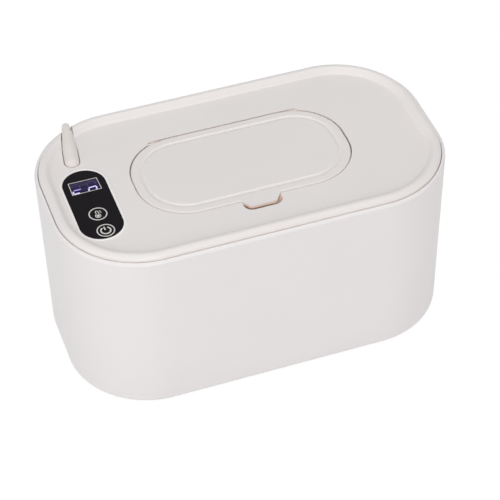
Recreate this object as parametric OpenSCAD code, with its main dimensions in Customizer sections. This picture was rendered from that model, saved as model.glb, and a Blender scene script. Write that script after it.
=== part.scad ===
// Baby wipe warmer. A plain moulded tub holds a pack of wet wipes. The lift-off lid carries the
// heater, the controls, the cord and a flip-up door over the dispensing opening.
// Millimetres. X runs left to right, the front is at -Y, +Z is up, and the origin is on the table
// under the middle of the tub.

/* [Tub] */
// Length over the rim, left to right
tub_l = 200; // [196:1:230]
// Depth over the rim, front to back
tub_w = 115; // [112:1:130]
// Height from the table to the crest of the lid's bead
total_h = 100; // [80:1:140]
// Plan radius of the corners at the rim
corner_r = 44; // [42:1:50]
// How far each side draws in from the rim to the base
draft = 1.3; // [0.4:0.1:2.5]
// Wall thickness of the tub
wall = 2.4; // [1.8:0.1:3]
// Floor thickness of the tub
floor_t = 2.4; // [2:0.1:4]
// Radius of the tub's bottom edge
base_r = 3.5; // [1:0.5:5]
// Radius of the rounded shoulder at the rim
shoulder_r = 1.5; // [0.5:0.1:1.6]
// Thickness of the lip that stands outside the lid
lip_t = 1.7; // [1.4:0.1:2]
// Width of the ledge that carries the lid, from the outside
ledge_w = 5; // [4.6:0.1:6]
// Thickness of the ledge
ledge_t = 2; // [1:0.5:4]

/* [Feet] */
// Radius of a foot
foot_r = 7; // [5:0.5:10]
// Height that a foot stands below the tub
foot_h = 1; // [0.6:0.1:2]
// Depth of the seat that a foot is glued into
foot_seat = 1; // [0.5:0.1:1.2]

/* [Lid cover] */
// Gap between the lid and the lip round it
lid_gap = 0.3; // [0.2:0.05:0.5]
// Depth of the deck below the crest of the bead
bead_h = 2.6; // [1.5:0.1:3.5]
// Width of the bead, from the lid's edge to the deck
bead_w = 7.3; // [6:0.1:9]
// Radius of the bead's outer side
bead_r = 2.6; // [1.5:0.1:2.7]
// Thickness of the deck
deck_t = 2.4; // [2:0.1:3]
// Depth of the lid's skirt below the deck
skirt_h = 2.9; // [2.6:0.1:4]
// Thickness of the rim gasket
gasket_t = 1; // [0.6:0.1:1.5]

/* [Lid tray] */
// Depth of the tray's underside below the deck
tray_h = 15.4; // [14.5:0.1:20]
// Wall and floor thickness of the tray
tray_t = 2; // [1.6:0.1:2.4]
// Radius of the tray's bottom edge
tray_r = 2; // [0.5:0.5:3]

/* [Flip door] */
// Length of the door
door_l = 109.8; // [96:0.2:114]
// Depth of the door, front to back, without its tab
door_w = 58.1; // [56:0.1:62]
// Plan radius of the door's corners
door_r = 25.6; // [24:0.1:27]
// Place of the door's middle, forward of the lid's middle
door_fwd = 1; // [0:0.5:3]
// Thickness of the door
door_t = 1.9; // [1.6:0.1:2.1]
// Gap round the door
door_gap = 0.4; // [0.3:0.05:0.6]
// Depth of the pocket that the door lies in
pocket_h = 3.4; // [3:0.1:4]
// Inset of the middle of the groove round the door
groove_in = 5.4; // [4:0.1:8]
// Width of that groove
groove_w = 2.6; // [1.5:0.1:3.5]
// Depth of that groove
groove_h = 0.5; // [0.2:0.1:0.8]
// Width of the finger tab at its root
tab_w = 20; // [14:1:26]
// How far the tab stands forward of the door
tab_l = 5; // [4:0.5:7]
// Radius of the finger scoop under the tab
scoop_r = 4.4; // [4:0.1:5]
// Radius of the door's two stub axles
axle_r = 0.6; // [0.5:0.05:0.7]
// Running clearance round an axle
axle_gap = 0.06; // [0.03:0.01:0.1]

/* [Dispensing opening] */
// Length of the opening that the wipes come through
open_l = 84; // [70:1:88]
// Depth of that opening, front to back
open_w = 38; // [34:1:40]
// Plan radius of its ends
open_r = 16; // [12:0.5:16.5]
// Height of the rim that the door's seal closes on
open_rim = 1; // [0.5:0.1:1.2]

/* [Control panel] */
// Length of the panel, front to back
panel_l = 51.4; // [50:0.2:56]
// Width of the panel
panel_w = 21.4; // [20:0.2:24]
// Distance of the panel's middle from the tub's left end
panel_x = 22.25; // [21.5:0.25:25]
// Place of the panel's middle, forward of the lid's middle
panel_fwd = 7; // [5:0.5:9]
// Thickness of the panel
panel_t = 1.2; // [0.8:0.1:1.4]
// Length of the display's window, along X
display_l = 16; // [14:0.5:17]
// Depth of the display's window, along Y
display_w = 9.5; // [8:0.5:11]

/* [Electronics] */
// Thickness of the circuit board
board_t = 1.6; // [1:0.1:1.6]
// Depth of the board's top below the deck
board_drop = 6.4; // [6:0.1:7]
// Radius of the turns of a touch spring
spring_r = 2.8; // [2:0.1:3]
// Wire diameter of a touch spring
spring_wire = 0.6; // [0.4:0.1:0.7]

/* [Heater] */
// Thickness of the aluminium heater plate
plate_t = 1.2; // [0.8:0.1:2]
// Thickness of the film heater on top of it
film_t = 0.3; // [0.2:0.1:0.5]
// Thickness of the insulation on the tray's floor
pad_t = 3; // [1:0.5:4]

/* [Cord] */
// Diameter of the cord
cord_d = 4; // [3:0.1:4]
// Radius of the strain relief's round nose
boot_r = 3.7; // [3.5:0.1:4.2]
// Gap round the strain relief in its channel
boot_gap = 0.35; // [0.3:0.05:0.5]
// Radius of the cord's bend over the rim, to the cord's middle
bend_r = 9; // [8:0.5:12]
// Radius of the coil's outermost turn, to the cord's middle
coil_r = 29; // [28:1:34]
// Turns in the coil
coil_turns = 8; // [6:2:8]
// Step from one turn of the coil to the next
coil_step = 4.5; // [4.5:0.1:5]
// Width of the plug's moulding
plug_w = 16; // [14:0.5:18]
// Thickness of the plug's moulding
plug_t = 8; // [7:0.5:9]

/* [Hidden] */
$fn = 48;
eps = 0.01;
seat_gap = 0.3;

// Corner centres of the tub, the lid and everything that follows their outline
cx = tub_l / 2 - corner_r;
cy = tub_w / 2 - corner_r;

// Levels, from the crest down
deck_z = total_h - bead_h;
deck_low = deck_z - deck_t;
skirt_z = deck_z - skirt_h;
ledge_z = skirt_z - gasket_t;
tray_z = deck_z - tray_h;
tray_floor_z = tray_z + tray_t;
rim_z = total_h - bead_r - 0.1;
pocket_z = deck_z - pocket_h;
pocket_low = pocket_z - tray_t;
board_z = deck_z - board_drop;
board_low = board_z - board_t;
plate_z = tray_z - film_t - plate_t;

// Radii at the corners, from the outside in
base_out = corner_r - draft;
base_band = 7;
cover_r = corner_r - lip_t - lid_gap;
ledge_r = corner_r - ledge_w;
tray_out = ledge_r - 0.4;
tray_in = tray_out - tray_t;
tongue_gap = 0.3;
tongue_z = deck_z - 0.9;
deck_r = cover_r - bead_w - 0.7;
crest_flat = 0.7;
gasket_out = corner_r - lip_t - 0.5;
gasket_in = ledge_r + 0.4;

// Feet
foot_x = tub_l / 2 - 32;
foot_y = tub_w / 2 - 21;

// Door, pocket and hinge
door_cx = door_l / 2 - door_r;
door_cy = door_w / 2 - door_r;
door_y = -door_fwd;
door_z = deck_z + 0.1;
door_low = door_z - door_t;
door_edge = 1.2;
pocket_r = door_r + door_gap;
pocket_wall = 2;
hinge_r = 1.1;
hinge_y = door_y + door_w / 2 - hinge_r;
hinge_z = door_z - hinge_r;
cheek_r = 0.9;
// Half the size of the relief that the door's rear corners swing through, its plan radius and floor
relief_x = 40.2;
relief_y = 6;
relief_r = 3;
relief_z = hinge_z - 0.2;
// Where the hinge axis leaves the door's outline
axle_x = door_cx + sqrt(pow(door_r, 2) - pow(hinge_y - door_y - door_cy, 2));
axle_end = relief_x + 3;
tab_low = deck_z - 1.5;
tab_end = tab_w - 4.8;
tab_corner = 2.2;
scoop_y = door_y - door_w / 2 - 3.1;
scoop_z = deck_z + 0.4;
scoop_x = tab_w / 2 - scoop_r - 0.1;
skin = 1.8;

// Dispensing opening and what goes round it
open_cx = open_l / 2 - open_r;
open_cy = open_w / 2 - open_r;
chimney_r = open_r + tray_t;
seal_in = open_r + 1.8;
seal_out = seal_in + 1.8;

// Panel, display and board
pan_x = -tub_l / 2 + panel_x;
pan_y = -panel_fwd;
pan_r = panel_w / 2;
pan_cy = panel_l / 2 - pan_r;
pan_z = deck_z + 0.2;
pan_fit = 0.15;
pan_seat = pan_z - panel_t;
display_x = pan_x - 0.45;
display_y = pan_y + 14.3;
display_rim = 1.4;
key_y = [pan_y - 7.4, pan_y - 20.2];
key_x = pan_x + 0.6;
board_x0 = pan_x - 9.75;
board_x1 = pan_x + 15.75;
board_y0 = pan_y - 23.5;
board_y1 = pan_y + 20.5;
board_holes = [
    [board_x0 + 3.5, board_y0 + 3], [board_x1 - 3, board_y0 + 3], [board_x1 - 3, board_y1 - 3.5]
];
post_r = 2.4;
pilot_r = 1;
pin_gap = 0.05;
board_bite = 3.4;

// Screws that hold the tray to the cover
screw_in = 9;
screw_r = tray_out - screw_in;
screw_at = [
    [cx + screw_r * cos(45), cy + screw_r * sin(45)],
    [cx + screw_r * cos(45), -cy - screw_r * sin(45)],
    [-cx - screw_r * cos(45), -cy - screw_r * sin(45)],
    [-cx - screw_r * cos(78), cy + screw_r * sin(78)],
    [0, cy + screw_r],
    [0, -cy - screw_r]
];
boss_r = 3.2;
boss_low = tray_floor_z + 2.5;
screw_shank = 1.15;
screw_head = 2.6;
head_t = 1.6;
head_z = tray_floor_z + 0.5;
screw_len = deck_low - 0.6 - head_z - head_t;

// Heater
plate_r = tray_out - 14.6;
plate_hole = chimney_r + 0.5;
pad_x0 = pan_x + 30;
pad_x1 = tub_l / 2 - 30;
pad_y = cy + plate_r;
sense_x = board_x1 + 6;
sense_y = 20;
bead_sensor_r = 1;
bead_sensor_l = 4;
fuse_r = 1.6;
fuse_l = 8;
fuse_cap = 0.6;

// Strain relief. It lies half sunk in the deck, and its axis rises backwards over the bead.
boot_nose = [-tub_l / 2 + 21.2, board_y1 + 12.9, deck_z - 0.6];
boot_end = [-tub_l / 2 + 24.4, tub_w / 2 - 10.5, total_h - 0.8];
boot_dir = boot_end - boot_nose;
// Length of its body that keeps the nose's radius, before the taper
boot_body = 9;
boot_len = norm(boot_dir);
boot_u = boot_dir / boot_len;
boot_tip_r = cord_d / 2 + 0.7;
trough_t = 1.6;
trough_r = boot_r + boot_gap + trough_t;
// Its stem goes down through the channel's floor, to a flange that a plate clamps from below
stem_r = 3;
trough_z = deck_z - 6.5;
flange_r = boot_r + 0.8;
flange_z = trough_z - 1.6;
clamp_t = 1.8;
clamp_z = flange_z - clamp_t;
clamp_x = 7;
clamp_hole = 2.2;
clamp_boss_r = 2.2;
clamp_bite = 3.6;
// Radius and height of the notch that takes the cord through the tub's lip
notch_r = cord_d / 2 + 0.7;
notch_z = rim_z + 0.2;
clamp_at = [for (s = [-1, 1]) [boot_nose[0] + s * clamp_x, boot_nose[1]]];

// The cord's route from the strain relief over the rim, down behind the tub and along the table
cord_low = cord_d / 2 + 0.1;
boot_rise = asin(boot_u[2]);
boot_level = [boot_u[0], boot_u[1], 0] / cos(boot_rise);
bend_at = boot_end + 0.6 * boot_u + bend_r * (sin(boot_rise) * boot_level - [0, 0, cos(boot_rise)]);
over_rim = [
    for (i = [0:8]) let (a = boot_rise - (90 + boot_rise) * i / 8)
        bend_at + bend_r * ([0, 0, cos(a)] - sin(a) * boot_level)
];
route = concat([boot_end], over_rim, [
    [-73.9, 57.6, 84], [-73.9, 57.7, 70], [-73.9, 57.9, 52], [-73.8, 58.2, 36],
    [-73.8, 58.4, 24], [-73.8, 58.4, 14.1], [-72.9, 58.7, 9.5], [-70.5, 59.6, 5.6],
    [-66.8, 60.9, 3], [-62.5, 62.5, cord_low], [-52, 66, cord_low], [-42, 68.7, cord_low],
    [-32, 70.3, cord_low], [-23, 70.9, cord_low], [-18, 71, cord_low], [-14, 71, cord_low]
]);
// Middle of the coil, behind the tub
coil_at = [-10, 100];
coil_lead = 4;
coil_rings = 24;
tail = [
    [-6, 71, 6.6], [2, 71, 6.6], [9, 71, 5.8], [16, 71, 4.6], [22, 71, 4], [28, 71, 4]
];
plug_x = 28;
plug_neck = 8;
plug_len = 22;
plug_out = 15;
contact_l = 9;
contact_in = 2;
plug_at = [plug_x, 71, plug_t / 2];
shell_w = 12;
shell_h = 4.5;
shell_t = 0.3;
tongue_t = 1.8;
tongue_top = shell_t + tongue_t - shell_h / 2;

// Points of an arc about c, from angle a0 to angle a1
function arc(c, r, a0, a1, n = 6) =
    [for (i = [0:n]) c + r * [cos(a0 + (a1 - a0) * i / n), sin(a0 + (a1 - a0) * i / n)]];

// Plan outline with round corners
module round_plan(x, y, r) {
    square([2 * (x + r), 2 * y], center = true);
    square([2 * x, 2 * (y + r)], center = true);
    for (sx = [-1, 1], sy = [-1, 1])
        translate([sx * x, sy * y]) circle(r);
}

// A flat slab of that outline, from z0 up to z1
module slab(x, y, r, z0, z1) {
    translate([0, 0, z0]) linear_extrude(z1 - z0) round_plan(x, y, r);
}

// Sweeps a profile, drawn as distance from the corner's centre and height, round the outline
module swept(x, y) {
    for (k = [0:3])
        translate([(k == 0 || k == 3 ? 1 : -1) * x, (k < 2 ? 1 : -1) * y, 0])
            rotate([0, 0, 90 * k]) rotate_extrude(angle = 90) children();
    for (s = [0, 1]) {
        rotate([0, 0, 180 * s]) translate([x, 0, 0])
            rotate([90, 0, 0]) linear_extrude(2 * y, center = true) children();
        rotate([0, 0, 90 + 180 * s]) translate([y, 0, 0])
            rotate([90, 0, 0]) linear_extrude(2 * x, center = true) children();
    }
}

// Places children at each point of a list
module at_points(points) {
    for (p = points)
        translate([p[0], p[1], 0]) children();
}

// Turns +Z to lie along the vector v
module along(v) {
    rotate([0, acos(v[2] / norm(v)), atan2(v[1], v[0])]) children();
}

function unit(v) = v / norm(v);
// Direction a made square to u
function carried(a, u) = unit(a - (a * u) * u);
// Direction of the path p at its point i
function tangent(p, i) =
    i == 0 ? unit(p[1] - p[0])
    : i == len(p) - 1 ? unit(p[i] - p[i - 1])
    : unit(unit(p[i + 1] - p[i]) + unit(p[i] - p[i - 1]));
// The same side of the path at each of its points, carried along so that it never twists
function sides(p, first) = [
    for (i = 0, a = carried(first, tangent(p, 0)); i < len(p);
         i = i + 1, a = i < len(p) ? carried(a, tangent(p, i)) : a) a
];

// A round tube along a list of points
module tube(path, d, n = 8, first = [1, 0, 0]) {
    m = len(path);
    a = sides(path, first);
    points = [
        for (i = [0:m - 1], k = [0:n - 1])
            let (u = tangent(path, i), b = cross(u, a[i]))
            path[i] + d / 2 * (cos(360 * k / n) * a[i] + sin(360 * k / n) * b)
    ];
    skin_faces = [
        for (i = [0:m - 2], k = [0:n - 1])
            let (q = i * n + k, s = i * n + (k + 1) % n)
            each [[q, q + n, s + n], [q, s + n, s]]
    ];
    caps = [
        for (k = [1:n - 2]) each [[0, k, k + 1], [(m - 1) * n, (m - 1) * n + k + 1, (m - 1) * n + k]]
    ];
    polyhedron(points, concat(skin_faces, caps));
}

// ---- Tub ----

module tub_profile() {
    polygon(concat(
        [[base_out - base_band, foot_h]],
        arc([base_out - base_r, foot_h + base_r], base_r, -90, 0, 8),
        arc([corner_r - shoulder_r, rim_z - shoulder_r], shoulder_r, 0, 90, 6),
        [[corner_r - lip_t, rim_z], [corner_r - lip_t, ledge_z], [ledge_r, ledge_z],
         [ledge_r, ledge_z - ledge_t],
         [corner_r - wall, ledge_z - ledge_t - (ledge_w - wall)]],
        arc([base_out - wall - 2, foot_h + floor_t + 2], 2, 0, -90, 4),
        [[base_out - base_band, foot_h + floor_t]]
    ));
}

module tub() color("#e9e6e5") difference() {
    union() {
        swept(cx, cy) tub_profile();
        slab(cx, cy, base_out - base_band, foot_h, foot_h + floor_t);
    }
    at_points([for (x = [-1, 1], y = [-1, 1]) [x * foot_x, y * foot_y]])
        translate([0, 0, foot_h - eps]) cylinder(r = foot_r + 0.1, h = foot_seat + eps);
    translate([boot_end[0], boot_end[1], notch_z]) along(boot_level)
        translate([0, 0, 2]) cylinder(r = notch_r, h = 8);
}

module rubber_feet() color("#8f8d8c")
    at_points([for (x = [-1, 1], y = [-1, 1]) [x * foot_x, y * foot_y]])
        rotate_extrude() polygon(concat(
            [[0, 0]],
            arc([foot_r - 0.6, 0.6], 0.6, -90, 0, 4),
            [[foot_r, foot_h + foot_seat], [0, foot_h + foot_seat]]
        ));

// ---- Lid cover ----

// Height of the bead's inner side, which falls from the crest to the deck in a soft S
function bead_fall(t) = deck_z + bead_h * (0.5 + 0.5 * cos(180 * t));

module cover_profile() {
    crest = cover_r - bead_r - crest_flat;
    foot = cover_r - bead_w;
    polygon(concat(
        [[deck_r, deck_low], [deck_r, deck_z]],
        [for (i = [0:8]) [foot + (crest - foot) * i / 8, bead_fall(1 - i / 8)]],
        arc([cover_r - bead_r, total_h - bead_r], bead_r, 90, 0, 8),
        [[cover_r, skirt_z], [tray_out + tongue_gap, skirt_z],
         [tray_out + tongue_gap, tongue_z + 0.3], [tray_in - tongue_gap, tongue_z + 0.3],
         [tray_in - tongue_gap, deck_low]]
    ));
}

// Outline of the finger tab, grown by g
module tab_plan(g) {
    front = door_y - door_w / 2 - tab_l - g;
    side = tab_end / 2 + g;
    r = tab_corner + g;
    polygon(concat(
        [[-tab_w / 2 - g, door_y - door_w / 2 + 1]],
        [[-tab_w / 2 - g, door_y - door_w / 2 - 0.4]],
        arc([-side + r, front + r], r, 190, 270, 5),
        arc([side - r, front + r], r, 270, 350, 5),
        [[tab_w / 2 + g, door_y - door_w / 2 - 0.4]],
        [[tab_w / 2 + g, door_y - door_w / 2 + 1]]
    ));
}

// The finger scoop's round hollow, of radius r
module scoop(r) {
    translate([-scoop_x, scoop_y, scoop_z]) {
        rotate([0, 90, 0]) cylinder(r = r, h = 2 * scoop_x);
        sphere(r);
        translate([2 * scoop_x, 0, 0]) sphere(r);
    }
}

// Half of the strain relief's outline, grown by g and run on past its end: distance from its axis
// and place along it, without its nose and then with it
function boot_side(g, past) = concat(
    [[boot_r + g, boot_body], [boot_tip_r + g, boot_len]],
    past > 0 ? [[boot_tip_r + g, boot_len + past]] : []
);
function boot_half(g, past) = concat(arc([0, 0], boot_r + g, -90, 0, 8), boot_side(g, past));

module boot_shape(g, past = 0)
    translate(boot_nose) along(boot_dir)
        rotate_extrude() polygon(concat(boot_half(g, past), [[0, boot_len + past]]));

module boot_sleeve(g, past)
    translate(boot_nose) along(boot_dir) rotate_extrude()
        polygon(concat([[0, 0], [boot_r + g, 0]], boot_side(g, past), [[0, boot_len + past]]));

// The channel that it lies in, open at the top, and the hole for its stem
module boot_channel() {
    half = boot_half(boot_gap, 6);
    boot_shape(boot_gap, 6);
    translate(boot_nose) along(boot_dir) rotate([0, -90, 0]) linear_extrude(10) polygon(concat(
        [for (i = [0:len(half) - 1]) [half[i][1], half[i][0]]],
        [for (i = [len(half) - 1:-1:1]) [half[i][1], -half[i][0]]]
    ));
    translate([boot_nose[0], boot_nose[1], trough_z - 1])
        cylinder(r = stem_r + seat_gap, h = deck_z - trough_z);
}

module panel_plan(g) {
    for (s = [-1, 1])
        translate([pan_x, pan_y + s * pan_cy]) circle(pan_r + g);
    translate([pan_x, pan_y]) square([2 * (pan_r + g), 2 * pan_cy], center = true);
}

module display_plan(g) {
    translate([display_x, display_y])
        square([display_l + 2 * (display_rim + g), display_w + 2 * (display_rim + g)], center = true);
}

module cover_solid() {
    swept(cx, cy) cover_profile();
    slab(cx, cy, deck_r, deck_low, deck_z);
    // Pocket that the door lies in
    translate([0, door_y, 0])
        slab(door_cx, door_cy, pocket_r + pocket_wall, pocket_low, deck_low + eps);
    // Underside of the finger scoop
    intersection() {
        scoop(scoop_r + skin);
        translate([-tub_l / 2, -tub_w / 2, 0]) cube([tub_l, tub_w, deck_low + eps]);
    }
    // Bearing blocks for the door's axles
    for (s = [-1, 1])
        translate([s * (axle_end - 1) - 2.5, hinge_y - 3, pocket_low])
            cube([5, 6, deck_low - pocket_low + eps]);
    // Trough under the strain relief, with a flat underside for its flange
    intersection() {
        boot_sleeve(boot_gap + trough_t, 6);
        union() {
            slab(cx, cy, tray_in - tongue_gap - 0.3, trough_z, deck_low + eps);
            slab(cx, cy, cover_r - 0.1, skirt_z + 0.2, deck_z - 0.1);
        }
    }
    translate([boot_nose[0], boot_nose[1], trough_z])
        cylinder(r = trough_r, h = deck_low - trough_z + eps);
    // Raised ring round the panel
    translate([0, 0, deck_z - eps]) linear_extrude(0.25) panel_plan(0.9);
    // Board posts, screw bosses and the clamp's bosses
    at_points(board_holes) translate([0, 0, board_z]) cylinder(r = post_r, h = deck_low - board_z + eps);
    at_points(screw_at) translate([0, 0, boss_low]) cylinder(r = boss_r, h = deck_low - boss_low + eps);
    at_points(clamp_at)
        translate([0, 0, flange_z]) cylinder(r = clamp_boss_r, h = deck_low - flange_z + eps);
}

module lid_cover() color("#e2dfde") {
    difference() {
        cover_solid();
        translate([0, door_y, 0]) {
            slab(door_cx, door_cy, pocket_r, pocket_z, total_h);
            slab(open_cx, open_cy, open_r, pocket_low - 1, pocket_z + 1);
        }
        translate([0, 0, tab_low - 0.5]) linear_extrude(total_h) tab_plan(door_gap);
        scoop(scoop_r);
        translate([0, hinge_y + hinge_r + door_gap - relief_y, 0])
            slab(relief_x - relief_r, relief_y - relief_r, relief_r, relief_z, total_h);
        for (s = [-1, 1])
            translate([s * door_cx, hinge_y, hinge_z]) rotate([0, s * 90, 0])
                cylinder(r = axle_r + axle_gap, h = axle_end - door_cx + 0.3);
        translate([0, 0, pan_seat]) linear_extrude(total_h) panel_plan(pan_fit);
        translate([0, 0, deck_low - 1]) linear_extrude(deck_t + 2) display_plan(0.2);
        for (y = key_y)
            translate([key_x, y, deck_low - 1]) cylinder(r = spring_r + spring_wire + 0.6, h = deck_t + 2);
        boot_channel();
        at_points(board_holes) translate([0, 0, board_z - 1]) cylinder(r = pilot_r, h = board_bite + 1.2);
        at_points(screw_at) translate([0, 0, boss_low - 1])
            cylinder(r = screw_shank + pin_gap, h = deck_low - boss_low + 0.8);
        at_points(clamp_at)
            translate([0, 0, flange_z - 1]) cylinder(r = pilot_r, h = clamp_bite + 1.4);
    }
    // Rim round the opening, which the seal closes on
    translate([0, door_y, 0]) difference() {
        slab(open_cx, open_cy, open_r + 1.2, pocket_z - eps, pocket_z + open_rim);
        slab(open_cx, open_cy, open_r, pocket_z - 1, pocket_z + 2);
    }
}

// ---- Tray, gasket and screws ----

module tray_profile() {
    polygon(concat(
        [[tray_in - 3, tray_z]],
        arc([tray_out - tray_r, tray_z + tray_r], tray_r, -90, 0, 5),
        [[tray_out, tongue_z], [tray_in, tongue_z], [tray_in, tray_floor_z],
         [tray_in - 3, tray_floor_z]]
    ));
}

module lid_tray() color("#dcd9d8") difference() {
    union() {
        swept(cx, cy) tray_profile();
        slab(cx, cy, tray_in - 3, tray_z, tray_floor_z);
        translate([0, door_y, 0]) slab(open_cx, open_cy, chimney_r, plate_z, pocket_low);
        at_points(screw_at) translate([0, 0, tray_z]) cylinder(r = boss_r + 1, h = boss_low - tray_z);
    }
    translate([0, door_y, 0]) slab(open_cx, open_cy, open_r, plate_z - 1, pocket_low + 1);
    at_points(screw_at) {
        translate([0, 0, tray_z - 1]) cylinder(r = screw_head + 0.3, h = head_z + head_t - tray_z + 1);
        translate([0, 0, tray_z]) cylinder(r = screw_shank + 0.25, h = 8);
    }
    boot_sleeve(boot_gap + trough_t + seat_gap, 10);
    // Windows for the thermistor and the thermal fuse, and a slot for the heater's leads
    for (s = [-1, 1])
        translate([sense_x, s * sense_y, tray_z]) cube([6, 15, 3 * tray_t], center = true);
    translate([sense_x, 0, tray_z]) cube([4, 8, 3 * tray_t], center = true);
}

module rim_gasket() color("#c9c7c6")
    swept(cx, cy) translate([gasket_in, ledge_z]) square([gasket_out - gasket_in, gasket_t]);

// A pan-head screw with its head's underside at z = 0, pointing up
module screw(shank, head, thick, length) {
    cylinder(r = shank, h = length);
    rotate_extrude() polygon(concat([[0, 0], [head, 0]], arc([head - 0.6, 0.6 - thick], 0.6, 0, -90, 4),
        [[0, -thick]]));
}

module lid_screws() color("#b9bcc0") at_points(screw_at)
    translate([0, 0, head_z + head_t]) screw(screw_shank, screw_head, head_t, screw_len);

// ---- Flip door ----

module door_profile() {
    // The groove is an arc of the width and depth that are set
    r = (pow(groove_w / 2, 2) + pow(groove_h, 2)) / (2 * groove_h);
    half = asin(groove_w / 2 / r);
    mid = door_r - groove_in;
    polygon(concat(
        [[0, door_low], [door_r - 0.5, door_low], [door_r, door_low + 0.5]],
        arc([door_r - door_edge, door_z - door_edge], door_edge, 0, 90, 6),
        arc([mid, door_z - groove_h + r], r, -90 + half, -90 - half, 6),
        [[0, door_z]]
    ));
}

module flip_door() color("#e2dfde") {
    translate([0, door_y, 0]) {
        swept(door_cx, door_cy) door_profile();
        translate([-door_cx, -door_cy, door_low]) cube([2 * door_cx, 2 * door_cy, door_t]);
    }
    // Round rear edge on the hinge axis, then the two stub axles
    translate([-door_cx, hinge_y, hinge_z]) rotate([0, 90, 0]) cylinder(r = hinge_r, h = 2 * door_cx);
    for (s = [-1, 1])
        translate([s * door_cx, hinge_y, hinge_z]) rotate([0, s * 90, 0]) {
            cylinder(r = cheek_r, h = axle_x - 4.5 - door_cx);
            cylinder(r = axle_r, h = axle_end - door_cx);
        }
    translate([0, 0, tab_low]) linear_extrude(door_z - tab_low) tab_plan(0);
}

module door_seal() color("#f0efee")
    translate([0, door_y, 0]) difference() {
        slab(open_cx, open_cy, seal_out, pocket_z + 0.2, door_low);
        slab(open_cx, open_cy, seal_in, pocket_z - 1, door_low + 1);
    }

// ---- Panel, display and board ----

module control_panel() color("#1c1a1f")
    translate([0, 0, pan_seat]) linear_extrude(panel_t) panel_plan(0);

module display_module() color("#3a3452")
    translate([0, 0, board_z]) linear_extrude(pan_seat - board_z) display_plan(0);

module control_board() color("#2f6b4a") translate([0, 0, board_low]) difference() {
    translate([board_x0, board_y0, 0]) cube([board_x1 - board_x0, board_y1 - board_y0, board_t]);
    at_points(board_holes) translate([0, 0, -1]) cylinder(r = pilot_r + 0.15, h = board_t + 2);
}

module board_screws() color("#b9bcc0") at_points(board_holes)
    translate([0, 0, board_low]) screw(pilot_r - pin_gap, 1.9, 1.2, board_t + board_bite);

// A compression spring of round wire, from z0 to z1
module coil_spring(r, wire, turns, z0, z1) {
    steps = 8 * turns;
    tube([for (i = [0:steps])
        [r * cos(45 * i), r * sin(45 * i), z0 + wire / 2 + (z1 - z0 - wire) * i / steps]],
        wire, 6, [0, 0, 1]);
}

module touch_springs() color("#c8b27a") for (y = key_y)
    translate([key_x, y, 0]) coil_spring(spring_r, spring_wire, 4, board_z + 0.05, pan_seat - 0.05);

module control_chip() color("#26262a")
    translate([pan_x - 4, pan_y - 9, board_low - 1.5]) cube([5, 4, 1.5]);

module capacitor() color("#4a4d52")
    translate([pan_x + 6, pan_y - 10, board_low - 3.4]) rotate_extrude() polygon(concat(
        [[0, 0]], arc([2.5 - 0.4, 0.4], 0.4, -90, 0, 4), [[2.5, 3.4], [0, 3.4]]));

module lead_header() color("#f3efe4") translate([board_x1 - 7, -6, board_low - 3.6]) difference() {
    cube([5, 12, 3.6]);
    for (k = [0:3])
        translate([3, 1 + 2.7 * k, 0.8]) cube([3, 2, 2]);
}

module cord_header() color("#f3efe4")
    translate([boot_nose[0] - 2.5, board_y1 - 8.5, board_low - 3.6]) difference() {
        cube([6, 6, 3.6]);
        for (k = [0, 1])
            translate([0.9 + 2.4 * k, 4, 0.8]) cube([1.9, 3, 2]);
    }

// ---- Heater ----

module heater_plan(r, hole) {
    difference() {
        round_plan(cx, cy, r);
        translate([0, door_y]) round_plan(open_cx, open_cy, hole);
    }
}

module heater_plate() color("#c3c6c9")
    translate([0, 0, plate_z]) linear_extrude(plate_t) heater_plan(plate_r, plate_hole);

module heater_film() color("#b5702c")
    translate([0, 0, tray_z - film_t]) linear_extrude(film_t) heater_plan(plate_r - 1, plate_hole + 1);

module insulation_pad() color("#d8d2c0") translate([0, 0, tray_floor_z]) linear_extrude(pad_t)
    difference() {
        translate([pad_x0, -pad_y]) square([pad_x1 - pad_x0, 2 * pad_y]);
        translate([0, door_y]) round_plan(open_cx, open_cy, chimney_r + 0.5);
        for (p = screw_at)
            translate(p) circle(boss_r + 1.6);
    }

module thermistor() color("#2b3a6b")
    translate([sense_x, sense_y, tray_z + bead_sensor_r]) rotate([90, 0, 0]) {
        cylinder(r = bead_sensor_r, h = bead_sensor_l, center = true);
        for (s = [-1, 1])
            translate([0, 0, s * bead_sensor_l / 2]) sphere(bead_sensor_r);
    }

module thermal_fuse() color("#d9d6cf")
    translate([sense_x, -sense_y, tray_z + fuse_r]) rotate([90, 0, 0]) {
        cylinder(r = fuse_r, h = fuse_l, center = true);
        for (s = [-1, 1])
            translate([0, 0, s * fuse_l / 2]) cylinder(r = 0.9, h = 2 * fuse_cap, center = true);
    }

// ---- Wires inside the lid ----

wire_d = 1.2;
header_face = board_x1 - 2;
header_z = board_low - 1.8;
wire_gap = 0.05;
// The inner ends of the fuse and the thermistor, where their wires start
sensor_ends = [fuse_l / 2 + fuse_cap + wire_gap, bead_sensor_l / 2 + bead_sensor_r + wire_gap];
// Where those wires clear the tray's windows, and where they have climbed onto its floor
window_y = sense_y - 7.5;
climb_y = window_y - 3.5;

module sensor_leads() color("#3c4a8c") for (k = [0, 1])
    let (s = 2 * k - 1, y = sense_y - sensor_ends[k], pin = 1.5 * 2.7)
        tube([
            [sense_x, s * y, tray_z + wire_d],
            [sense_x, s * (y - wire_d / 2), tray_z + wire_d],
            [sense_x, s * window_y, tray_floor_z + 0.8],
            [sense_x - 0.6, s * climb_y, tray_floor_z + wire_d],
            [sense_x - 3, s * (climb_y - 3), header_z - 0.4],
            [header_face + 1, s * pin + wire_gap, header_z],
            [header_face - 1, s * pin + wire_gap, header_z]
        ], wire_d, 6);

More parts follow.
